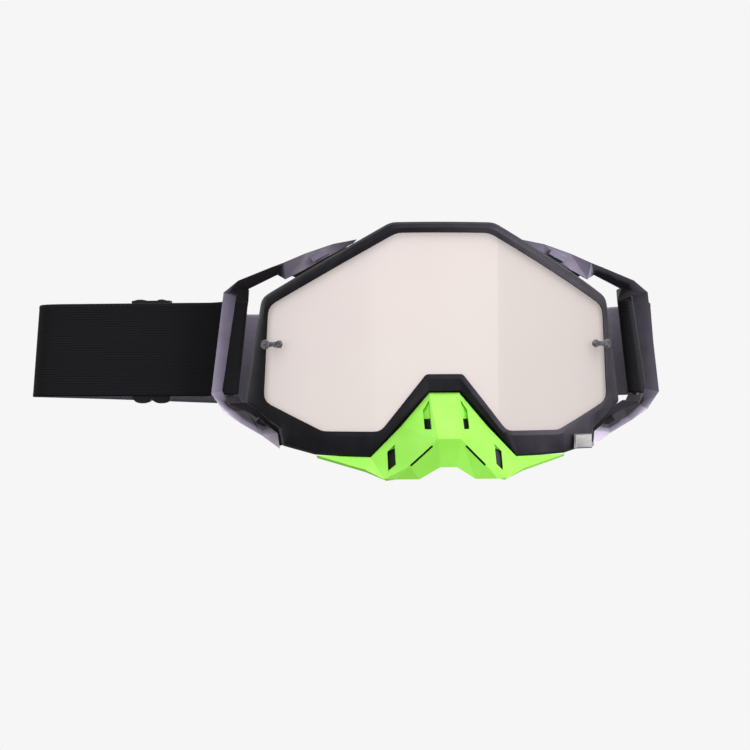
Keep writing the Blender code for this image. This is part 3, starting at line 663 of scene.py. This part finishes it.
# The low rim, below this height or further out than this |x|, is lifted a little to stay behind the guard.
LOW_RIM_HEIGHT = -54.5 * MM
LOW_RIM_OUT = 30 * MM
LOW_RIM_LIFT = 1.2 * MM
# The other rim is drawn outwards, backwards and upwards; less outwards within this |x|. It shows past the
# guard's edges as a dark strip, a painted shadow.
SKIRT_RISE = Vector((2.2, 2.0, 3.4)) * MM
RISE_MIDDLE = 5 * MM
SKIRT_THICKNESS = 0.6 * MM
JOIN = 0.01 * MM


def make_skirt():
    """The frame's own skirt over the nose, dark behind the guard's windows; its raised rim is a dark strip
    along the guard's edges that stands for the shadow gap there, a painted shadow.
    """
    bm = bmesh.new()
    verts = {name: bm.verts.new(Vector(point) * MM) for name, point in GUARD_POINTS.items()}
    for facet in SKIRT_FACETS:
        bmesh.ops.contextual_create(bm, geom=[verts[name] for name in facet])
    bmesh.ops.mirror(bm, geom=bm.verts[:] + bm.edges[:] + bm.faces[:], axis="X", merge_dist=JOIN)
    bmesh.ops.remove_doubles(bm, verts=bm.verts, dist=JOIN)
    bmesh.ops.recalc_face_normals(bm, faces=bm.faces)
    bm.normal_update()
    if sum(face.normal.y * face.calc_area() for face in bm.faces) > 0:
        bmesh.ops.reverse_faces(bm, faces=bm.faces)
        bm.normal_update()
    low_rim = [vert for vert in bm.verts if vert.co.z < LOW_RIM_HEIGHT or abs(vert.co.x) > LOW_RIM_OUT]
    moves = [(vert, vert.normal * min(vert.calc_shell_factor(), MOST_PUSH)) for vert in bm.verts]
    for vert, move in moves:
        vert.co -= move * SKIRT_GAP
    for vert in low_rim:
        vert.co.z += LOW_RIM_LIFT
    rim = [edge for edge in bm.edges if edge.is_boundary and not all(vert in low_rim for vert in edge.verts)]
    raised = bmesh.ops.extrude_edge_only(bm, edges=rim)["geom"]
    for vert in raised:
        if isinstance(vert, bmesh.types.BMVert):
            outwards = min(max(vert.co.x / RISE_MIDDLE, -1), 1)
            vert.co += SKIRT_RISE * Vector((outwards, 1, 1))
    bmesh.ops.recalc_face_normals(bm, faces=bm.faces)
    bmesh.ops.solidify(bm, geom=bm.faces[:], thickness=-SKIRT_THICKNESS)
    bmesh.ops.recalc_face_normals(bm, faces=bm.faces)
    finished("nose_skirt", bm, [URETHANE], sharp=12)


def make_lens():
    """The lens sheet, mirrored on every face but the inner one."""
    bm = merged_copy("lens")
    for face in bm.faces:
        if face.normal.y > FACING:
            face.material_index = 1
    finished("lens_sheet", bm, [MIRROR, LENS_INSIDE], stands_for=["lens"])


def disc(bm, centre, turn, radius, low, high, segments=32):
    """A round slab standing along the turned Y axis, from low to high."""
    place = Matrix.Translation(centre) @ turn @ Matrix.Translation((0, (low + high) / 2, 0))
    bmesh.ops.create_cone(
        bm,
        cap_ends=True,
        segments=segments,
        radius1=radius,
        radius2=radius,
        depth=high - low,
        matrix=place @ Matrix.Rotation(radians(90), 4, "X"),
    )


# A post stands square to the lens, whose curve has a radius of 116 mm, 76.5 mm out from the middle.
POST_ANGLE = asin(76.5 / 116)
# How far a post's head lies in from its outer end, how far its skin lies before the head's base, and how far
# behind the skin the arm is cut off and shaped anew.
HEAD_INSET = 4.2 * MM
HEAD_SINK = 0.9 * MM
ARM_CUT = 2.1 * MM
# The head's rings as (radius, height), the waisted arm's discs as (distance from the head, radius), and the
# two studs behind them as (distance, radius, depth), all in mm.
HEAD_RINGS = ((2.3, 0.9), (1.75, 1.2), (1.1, 1.0), (0.6, 1.5))
ARM_DISCS = ((2.9, 1.25), (4.3, 1.1), (5.7, 1.1), (7.1, 1.25), (8.3, 1.45))
STUDS = ((0, 1.2, 1.0), (8.2, 1.3, 1.6))
# The arm ends in three lobes of this radius at these heights, and the middle one stands out furthest, in mm.
LOBE_HEIGHTS = (-0.8, 0, 0.8)
LOBE_RADIUS = 1.05


def make_post(word, side):
    """A tear-off post: a ringed head and a waisted arm with a lobed end, on a stud through the lens."""
    node = "tear_off_post_" + word
    low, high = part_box(node)
    turn = Matrix.Rotation(side * POST_ANGLE, 4, "Z")
    along, ahead = turn @ Vector((-side, 0, 0)), turn @ Vector((0, -1, 0))
    bm = merged_copy(node)
    outer_x = max(abs(low.x), abs(high.x))
    start = in_front(side * (outer_x - HEAD_INSET), (low.z + high.z) / 2)
    hit = BVHTree.FromBMesh(bm).ray_cast(start, BACKWARDS)[0]
    head = hit - ahead * HEAD_SINK
    bmesh.ops.bisect_plane(
        bm,
        geom=bm.verts[:] + bm.edges[:] + bm.faces[:],
        plane_co=hit - ahead * ARM_CUT,
        plane_no=ahead,
        clear_outer=True,
    )
    bmesh.ops.holes_fill(bm, edges=[edge for edge in bm.edges if edge.is_boundary])
    for radius, rise in HEAD_RINGS:
        disc(bm, head, turn, radius * MM, -rise * MM, 0.4 * MM)
    for step, radius, depth in STUDS:
        disc(bm, head + along * step * MM, turn, radius * MM, 0, depth * MM)
    for step, radius in ARM_DISCS:
        disc(bm, head + along * step * MM, turn, radius * MM, -1.0 * MM, 0.2 * MM, segments=24)
    for level in LOBE_HEIGHTS:
        centre = head + along * (9.6 - 0.5 * abs(level)) * MM + Vector((0, 0, level * MM))
        disc(bm, centre, turn, LOBE_RADIUS * MM, -1.1 * MM, 0.2 * MM, segments=24)
    obj = finished("post_" + word, bm, [SMOKE], stands_for=[node])
    rounded(obj, width=0.18 * MM, segments=2)


# The plate is drawn a fifth wider than its solid, with a rim this wide round a face raised by this much.
BADGE_SCALE = (1.2, 1.2, 1)
BADGE_RIM = 0.55 * MM
BADGE_STEP = 0.1 * MM
BADGE_RAISE = 0.25 * MM


def make_badge_plate():
    """A bare plate with a thin dark rim."""
    bm = merged_copy("badge")
    low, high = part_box("badge")
    centre = Matrix.Translation(-(low + high) / 2)
    bmesh.ops.scale(bm, vec=BADGE_SCALE, space=centre, verts=bm.verts)
    front = min(bm.faces, key=lambda face: face.normal.y)
    inset = bmesh.ops.inset_region(bm, faces=[front], thickness=BADGE_RIM, depth=0.0)
    for face in inset["faces"]:
        face.material_index = 1
    bmesh.ops.inset_region(bm, faces=[front], thickness=BADGE_STEP, depth=BADGE_RAISE)
    obj = finished("badge_plate", bm, [PLATE, SMOKE], stands_for=["badge"])
    rounded(obj, width=0.25 * MM, segments=2)


def make_pins():
    """The four steel pins that hold the outriggers' tabs."""
    for _, word in SIDES:
        for level in ("upper", "lower"):
            node = f"outrigger_pin_{level}_{word}"
            obj = finished(f"pin_{level}_{word}", merged_copy(node), [STEEL], stands_for=[node])
            rounded(obj, width=0.2 * MM, segments=2)


# A slider's wavy ends: lobes as (share of its length from its middle, radius, how far it stands out), in mm.
SLIDER_LOBES = {"top": [(-0.28, 3.4, 1.0), (0.26, 2.4, 1.0)], "bottom": [(-0.24, 4.4, 2.4), (0.24, 4.4, 2.4)]}
LOBE_SINK = 0.4 * MM
LOBE_HALF_THICKNESS = 1.6 * MM
# Its top and bottom rails, which reach this far in from its ends, are trimmed by so much.
RAIL_REACH = 0.6 * MM
TOP_TRIM = 1.9 * MM
BOTTOM_TRIM = 1.7 * MM
# How each slider is turned, with the run of the strap it sits on, in degrees.
SLIDER_YAW = {"left": 10.8, "right": -10}


def make_slider(word):
    """A strap adjuster with thinned rails and lobed ends."""
    node = "slider_" + word
    low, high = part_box(node)
    bm = merged_copy(node)
    middle = (low + high) / 2
    for vert in bm.verts:
        if vert.co.z > high.z - RAIL_REACH:
            vert.co.z -= TOP_TRIM
        elif vert.co.z < low.z + RAIL_REACH:
            vert.co.z += BOTTOM_TRIM
    heights = {"top": high.z - TOP_TRIM - LOBE_SINK, "bottom": low.z + BOTTOM_TRIM + LOBE_SINK}
    turn = Matrix.Rotation(-radians(SLIDER_YAW[word]), 4, "Z")
    for end, lobes in SLIDER_LOBES.items():
        for share, radius, stand in lobes:
            centre = middle + turn @ Vector((share * (high.x - low.x), 0, 0))
            centre.z = heights[end]
            squat = turn @ Matrix.Diagonal((1, 1, stand / radius, 1))
            disc(bm, centre, squat, radius * MM, -LOBE_HALF_THICKNESS, LOBE_HALF_THICKNESS, segments=36)
    obj = finished(node + "_buckle", bm, [NYLON], node, [node])
    rounded(obj, width=0.5 * MM)


# ---- foam ---------------------------------------------------------------------------------------------
def make_face_foam():
    """The three layers of foam that rest on the face."""
    for node, look, slot in (
        ("face_foam_base", FOAM, "foam"),
        ("face_foam_middle", FOAM, "foam"),
        ("face_foam_fleece", FLEECE, "fleece"),
    ):
        obj = finished(node + "_pad", merged_copy(node), [look], stands_for=[node])
        remade(obj, voxel=1.1 * MM, smoothing=6)
        ruffled(obj, size=7 * MM, depth=0.25 * MM)


def make_vent_foam():
    """The foam in the brow's and the chin's vents."""
    for level in ("top", "bottom"):
        for _, word in SIDES:
            node = f"{level}_vent_{word}_foam"
            obj = finished(node + "_pad", merged_copy(node), [VENT_FOAM], stands_for=[node])
            remade(obj, voxel=0.5 * MM, smoothing=3)
            ruffled(obj, size=2.5 * MM, depth=0.15 * MM)


# ---- strap --------------------------------------------------------------------------------------------
# The strap's run seen from above in mm, as (x, y, height of its middle): from the left outrigger's bar, out
# to the fold, behind the goggles and round to the right outrigger's bar.
LEFT_RUN = [
    (-100, 0.6, -1.2),
    (-104, 1.0, -1.6),
    (-110, 2.0, -2.0),
    (-120, 3.9, -2.0),
    (-140, 7.7, -2.0),
    (-160, 11.5, -2.0),
    (-175, 14.35, -2.0),
    (-186, 16.44, -2.0),
]
REAR_RUN = [
    (-193.5, 18.7, -2.1),
    (-197.4, 23.3, -2.3),
    (-194.0, 28.1, -2.5),
    (-186, 29.5, -2.8),
    (-165, 30.3, -3.5),
    (-144, 30.9, -4.3),
    (-110, 31.7, -5.8),
    (-92, 33.3, -6.4),
    (-82, 36.3, -6.4),
    (-62, 42.5, -6.0),
    (-32, 48.3, -5.5),
    (0, 50.1, -5.0),
]
RIGHT_RUN = [
    (14, 48.96, -4.0),
    (26, 46.85, -4.0),
    (46, 43.33, -4.0),
    (62, 40.51, -4.0),
    (76, 38.05, -4.0),
    (88, 34.7, -3.4),
    (96.2, 29.9, -3.0),
    (102.6, 23.3, -2.6),
    (105.4, 15.7, -2.2),
    (104.6, 8.7, -1.8),
    (101.6, 3.5, -1.5),
    (98.6, 1.3, -1.5),
]
STRAP_BAR = (96.2 * MM, 3.6 * MM)
WRAP_HEIGHT = -1.4 * MM
WRAP_RADIUS = 2.85 * MM
WRAP_STEPS = 6
LAYER_PITCH = 3.4 * MM
STRAP_WIDTH = 45 * MM
STRAP_THICKNESS = 1.6 * MM
ROUTE_STEPS = 9
# The strap leans with a bar by this slope: fully this near to it, and less over a further stretch.
BAR_LEAN = 0.11
LEAN_NEAR = 8 * MM
LEAN_FADE = 22 * MM
# The far fold starts this far out on the left. Over its length it is drawn in by this much at mid-height, and
# by more above, and its front run goes along its own slope.
FOLD_START = 0.15
FOLD_LENGTH = 0.047
FOLD_DRAW = 3.7 * MM
FOLD_SLANT = 0.077
FRONT_RUN_SLOPE = 0.19
FRONT_RUN_END = 23 * MM
FRONT_RUN_FADE = 6 * MM
# The weave of the strap's other face lies this far off on the UV map.
UV_BACK = 0.1
# The lining ends this many points of the route before its end, where the strap reaches the right bar.
UNLINED_POINTS = len(RIGHT_RUN) + 4


def metres(points):
    """Points in mm as vectors in metres."""
    return [Vector(point) * MM for point in points]


def smooth_run(points, steps):
    """A smooth curve through the points."""
    ends = [2 * points[0] - points[1], *points, 2 * points[-1] - points[-2]]
    curve = []
    for a, b, c, d in zip(ends, ends[1:], ends[2:], ends[3:]):
        for step in range(steps):
            t = step / steps
            pull = (c - a) * t + (2 * a - 5 * b + 4 * c - d) * t**2 + (3 * b - a - 3 * c + d) * t**3
            curve.append(b + pull / 2)
    return [*curve, points[-1]]


def plan_normals(points):
    """At each point of a run, the level direction square to it, on the left of its travel."""
    normals = []
    for before, after in zip([points[0], *points], [*points[1:], points[-1]]):
        run = Vector((after.x - before.x, after.y - before.y, 0)).normalized()
        normals.append(Vector((-run.y, run.x, 0)))
    return normals


def shifted(points, distance):
    """A run moved sideways, to the left of its travel."""
    return [point + normal * distance for point, normal in zip(points, plan_normals(points))]


def wrap(side):
    """The strap's turn round an outrigger's bar, from its front, past its inner side, to its back."""
    points = []
    for step in range(WRAP_STEPS + 1):
        turn = pi * step / WRAP_STEPS
        inwards, ahead = WRAP_RADIUS * sin(turn), WRAP_RADIUS * cos(turn)
        points.append(Vector((side * (STRAP_BAR[0] - inwards), STRAP_BAR[1] - ahead, WRAP_HEIGHT)))
    return points


def strap_route():
    """The whole route of the strap: a short tail beside each end, and the run between them."""
    left, rear, right = metres(LEFT_RUN), metres(REAR_RUN), metres(RIGHT_RUN)
    left_tail = shifted(left, -LAYER_PITCH)[2:]
    right_tail = shifted(right, LAYER_PITCH)[:-2]
    return left_tail[::-1] + wrap(-1)[::-1] + left + rear + right + wrap(1) + right_tail[::-1]


def leant(point, z):
    """Near a bar the strap leans with it, and its far fold is drawn in more at the top than at the bottom."""
    away = hypot(abs(point.x) - STRAP_BAR[0], point.y - STRAP_BAR[1])
    share = min(max(1 - (away - LEAN_NEAR) / LEAN_FADE, 0), 1)
    x = point.x - share * (BAR_LEAN if point.x > 0 else -BAR_LEAN) * z
    drawn_in = max(-FOLD_START - point.x, 0) / FOLD_LENGTH * (FOLD_DRAW + FOLD_SLANT * z)
    front_run = min(max((FRONT_RUN_END - point.y) / FRONT_RUN_FADE, 0), 1)
    return Vector((x + drawn_in, point.y - FRONT_RUN_SLOPE * front_run * drawn_in, z))


def band_section(width, thickness):
    """A woven band's section as (out, up): flat faces, full edges and a raised selvedge."""
    half, deep = width / 2, thickness / 2
    levels = [-1, -0.985, -0.94, -0.9, -0.45, 0, 0.45, 0.9, 0.94, 0.985, 1]
    fullness = [0.35, 0.9, 1.0, 0.88, 0.9, 0.9, 0.9, 0.88, 1.0, 0.9, 0.35]
    front = [(-deep * full, half * level) for level, full in zip(levels, fullness)]
    back = [(deep * full, half * level) for level, full in zip(levels[::-1], fullness)]
    return front + back


def make_strap():
    """One woven band, bridged from section to section along its route."""
    route = smooth_run(strap_route(), ROUTE_STEPS)
    normals = plan_normals(route)
    section = band_section(STRAP_WIDTH, STRAP_THICKNESS)
    bm = bmesh.new()
    travel, last, rings, lengths = 0.0, route[0], [], []
    for point, normal in zip(route, normals):
        travel += (point - last).length
        last = point
        ring = [bm.verts.new(leant(point, point.z + up) + normal * out) for out, up in section]
        edges = [bm.edges.new((ring[i - 1], ring[i])) for i in range(len(ring))]
        rings.append((ring, edges))
        lengths.append(travel)
    for (_, near), (_, far) in zip(rings, rings[1:]):
        bmesh.ops.bridge_loops(bm, edges=near + far)
    for ring, _ in (rings[0], rings[-1]):
        bmesh.ops.contextual_create(bm, geom=ring)
    bmesh.ops.recalc_face_normals(bm, faces=bm.faces)
    along = {}
    bm.verts.index_update()
    for (ring, _), length in zip(rings, lengths):
        for vertex, (out, up) in zip(ring, section):
            along[vertex.index] = (length, up + (UV_BACK if out > 0 else 0))
    uv = bm.loops.layers.uv.new("weave")
    lined = rings[: len(rings) - UNLINED_POINTS * ROUTE_STEPS]
    inner = {vertex.index for ring, _ in lined for vertex, (out, _) in zip(ring, section) if out < 0}
    for face in bm.faces:
        if all(vertex.index in inner for vertex in face.verts):
            face.material_index = 1
        for loop in face.loops:
            loop[uv].uv = along[loop.vert.index]
    looks = [WEBBING, LINING]
    obj = finished("strap_elastic", bm, looks, stands_for=["strap"], sharp=50)


def make_grip_lines():
    """The three silicone beads on the strap's inside."""
    for level in ("lower", "middle", "upper"):
        node = "grip_line_" + level
        bm = merged_copy(node)
        obj = finished(node + "_bead", bm, [SILICONE], stands_for=[node], sharp=60)
        rounded(obj, width=0.22 * MM)


make_frame()
for side, word in SIDES:
    make_outrigger(word)
    for name, (corners, near_depth, far_depth) in WEBS.items():
        make_web(f"{name}_{word}", corners, near_depth, far_depth, side)
    make_post(word, side)
    make_slider(word)
make_nose_guard()
make_skirt()
make_lens()
make_badge_plate()
make_pins()
make_face_foam()
make_vent_foam()
make_strap()
make_grip_lines()


# ---- studio -------------------------------------------------------------------------------------------
CAMERA_PLACE = (-0.0785, -0.7342, -0.0147)
# Level, turned a little to the right and rolled a trace clockwise, in degrees.
CAMERA_YAW = -3.83
CAMERA_PITCH = 90
CAMERA_ROLL = -0.26


def make_camera():
    """The camera in front of the goggles, nearly square to them."""
    data = bpy.data.cameras.new("camera")
    data.lens = 73.08
    data.sensor_width = 36
    data.clip_start = 0.05
    camera = bpy.data.objects.new("camera", data)
    camera.matrix_world = (
        Matrix.Translation(CAMERA_PLACE)
        @ Matrix.Rotation(radians(CAMERA_YAW), 4, "Z")
        @ Matrix.Rotation(radians(CAMERA_PITCH), 4, "X")
        @ Matrix.Rotation(radians(CAMERA_ROLL), 4, "Z")
    )
    bpy.context.scene.collection.objects.link(camera)
    bpy.context.scene.camera = camera


# The room's floor lies this far under the goggles. The floor's bend into the wall, and the dome, in metres.
FLOOR_DROP = 0.56
ROOM_BEND = 0.8
ROOM_REACH = 3.2
BEND_STEPS = 8
DOME_STEPS = 12
ROUND_STEPS = 48


def make_backdrop():
    """A pale seamless room: a round floor that curves up into a wall and a dome, glowing evenly."""
    bm = bmesh.new()
    floor_z = CAD_BOX[0].z - FLOOR_DROP
    flat = ROOM_REACH - ROOM_BEND
    profile = [Vector((0, 0, floor_z)), Vector((flat, 0, floor_z))]
    for step in range(1, BEND_STEPS + 1):
        turn = pi / 2 * step / BEND_STEPS
        out, up = ROOM_BEND * sin(turn), ROOM_BEND * (1 - cos(turn))
        profile.append(Vector((flat + out, 0, floor_z + up)))
    for step in range(1, DOME_STEPS + 1):
        turn = pi / 2 * step / DOME_STEPS
        out, up = ROOM_REACH * cos(turn), ROOM_REACH * sin(turn)
        profile.append(Vector((out, 0, floor_z + ROOM_BEND + up)))
    verts = [bm.verts.new(point) for point in profile]
    edges = [bm.edges.new(pair) for pair in zip(verts, verts[1:])]
    bmesh.ops.spin(
        bm,
        geom=verts + edges,
        axis=(0, 0, 1),
        cent=(0, 0, 0),
        angle=2 * pi,
        steps=ROUND_STEPS,
        use_merge=True,
    )
    bmesh.ops.remove_doubles(bm, verts=bm.verts, dist=1 * MM)
    bmesh.ops.recalc_face_normals(bm, faces=bm.faces)
    bmesh.ops.reverse_faces(bm, faces=bm.faces)
    mesh = bpy.data.meshes.new("backdrop")
    bm.to_mesh(mesh)
    bm.free()
    mesh.shade_smooth()
    made, _, _ = surface(
        "matte_paper",
        Base_Color=linear("#000000"),
        Roughness=1.0,
        Specular_IOR_Level=0.0,
        Emission_Color=linear("#F6F6F6"),
        Emission_Strength=1.0,
    )
    mesh.materials.append(made)
    obj = bpy.data.objects.new("backdrop", mesh)
    bpy.context.scene.collection.objects.link(obj)
    obj.visible_diffuse = False
    obj.visible_glossy = False
    obj.visible_shadow = False


def area_light(name, place, aim, size, power, colour="#FFFFFF"):
    """A rectangular lamp that faces the point it is aimed at."""
    data = bpy.data.lights.new(name, "AREA")
    data.shape = "RECTANGLE"
    data.size, data.size_y = size
    data.energy = power
    data.color = linear(colour)[:3]
    lamp = bpy.data.objects.new(name, data)
    lamp.location = place
    lamp.rotation_euler = (Vector(aim) - Vector(place)).to_track_quat("-Z", "Y").to_euler()
    bpy.context.scene.collection.objects.link(lamp)
    return lamp


# The panel's edges in degrees from straight ahead, and how softly it ends, as a share of a full turn.
PANEL_LEFT = 28
PANEL_RIGHT = 34
PANEL_EDGE = 0.01


def greys(levels):
    """Colour stops of plain grey from (position, brightness)."""
    return [(position, (level, level, level, 1)) for position, level in levels]


def make_world():
    """A soft room: bright above and dim below, with a wide pale panel in front of the goggles."""
    world = bpy.data.worlds.new("soft_room")
    world.use_nodes = True
    tree = world.node_tree
    split = add(tree, "SeparateXYZ", {"Vector": add(tree, "TexCoord").outputs["Object"]})
    x, y, z = (split.outputs[axis] for axis in "XYZ")
    behind = add(tree, "Math", {0: y, 1: -1.0}, operation="MULTIPLY")
    turn = add(tree, "Math", {0: x, 1: behind.outputs[0]}, operation="ARCTAN2")
    round_room = add(tree, "MapRange", {"Value": turn.outputs[0], "From Min": -pi, "From Max": pi})
    # The left wall, the front panel and the right wall, as (place round the room, brightness).
    left, right = 0.5 - PANEL_LEFT / 360, 0.5 + PANEL_RIGHT / 360
    walls = [
        (0.0, 0.88),
        (left - PANEL_EDGE, 0.97),
        (left, 1.05),
        (right, 1.05),
        (right + PANEL_EDGE, 0.85),
        (1.0, 0.8),
    ]
    panel = add(tree, "ValToRGB", {"Fac": round_room.outputs["Result"]}, greys(walls))
    height = add(tree, "MapRange", {"Value": z, "From Min": -1.0, "From Max": 1.0})
    # From straight below to straight above, as (place, brightness).
    levels = [(0.0, 0.18), (0.38, 0.42), (0.47, 0.9), (0.62, 1.0), (0.8, 1.15), (1.0, 1.2)]
    fall = add(tree, "ValToRGB", {"Fac": height.outputs["Result"]}, greys(levels))
    factors = {0: panel.outputs["Color"], 1: fall.outputs["Color"]}
    both = add(tree, "VectorMath", factors, operation="MULTIPLY")
    tree.links.new(both.outputs[0], tree.nodes["Background"].inputs["Color"])
    bpy.context.scene.world = world


def only_on(lamp, words):
    """Keeps a lamp to the pieces whose names start with one of these words."""
    lit = bpy.data.collections.new(lamp.name + "_pieces")
    for obj in bpy.data.objects:
        if obj.type == "MESH" and obj.name.startswith(words):
            lit.objects.link(obj)
    lamp.light_linking.receiver_collection = lit


DARK_PIECES = ("frame_shell", "outrigger_shell", "cheek_web", "nose_skirt", "slider", "strap")


def make_lamps():
    """A softbox from the right on the dark pieces, a low fill on the nose guard and a softbox above."""
    centre = (0, 0, 0)
    place, size, tint = (0.55, -0.32, 0.2), (0.5, 0.6), "#F6F1FA"
    only_on(area_light("right_softbox", place, centre, size, power=15, colour=tint), DARK_PIECES)
    place, guard, size = (0.5, -0.62, -0.25), (0, 0, -0.04), (0.4, 0.5)
    only_on(area_light("low_fill", place, guard, size, power=3.4), ("nose_guard",))
    area_light("top_softbox", (0.1, -0.5, 0.9), centre, (0.9, 0.7), power=5)


make_camera()
make_backdrop()
make_world()
make_lamps()
bpy.context.scene.view_settings.view_transform = "Standard"
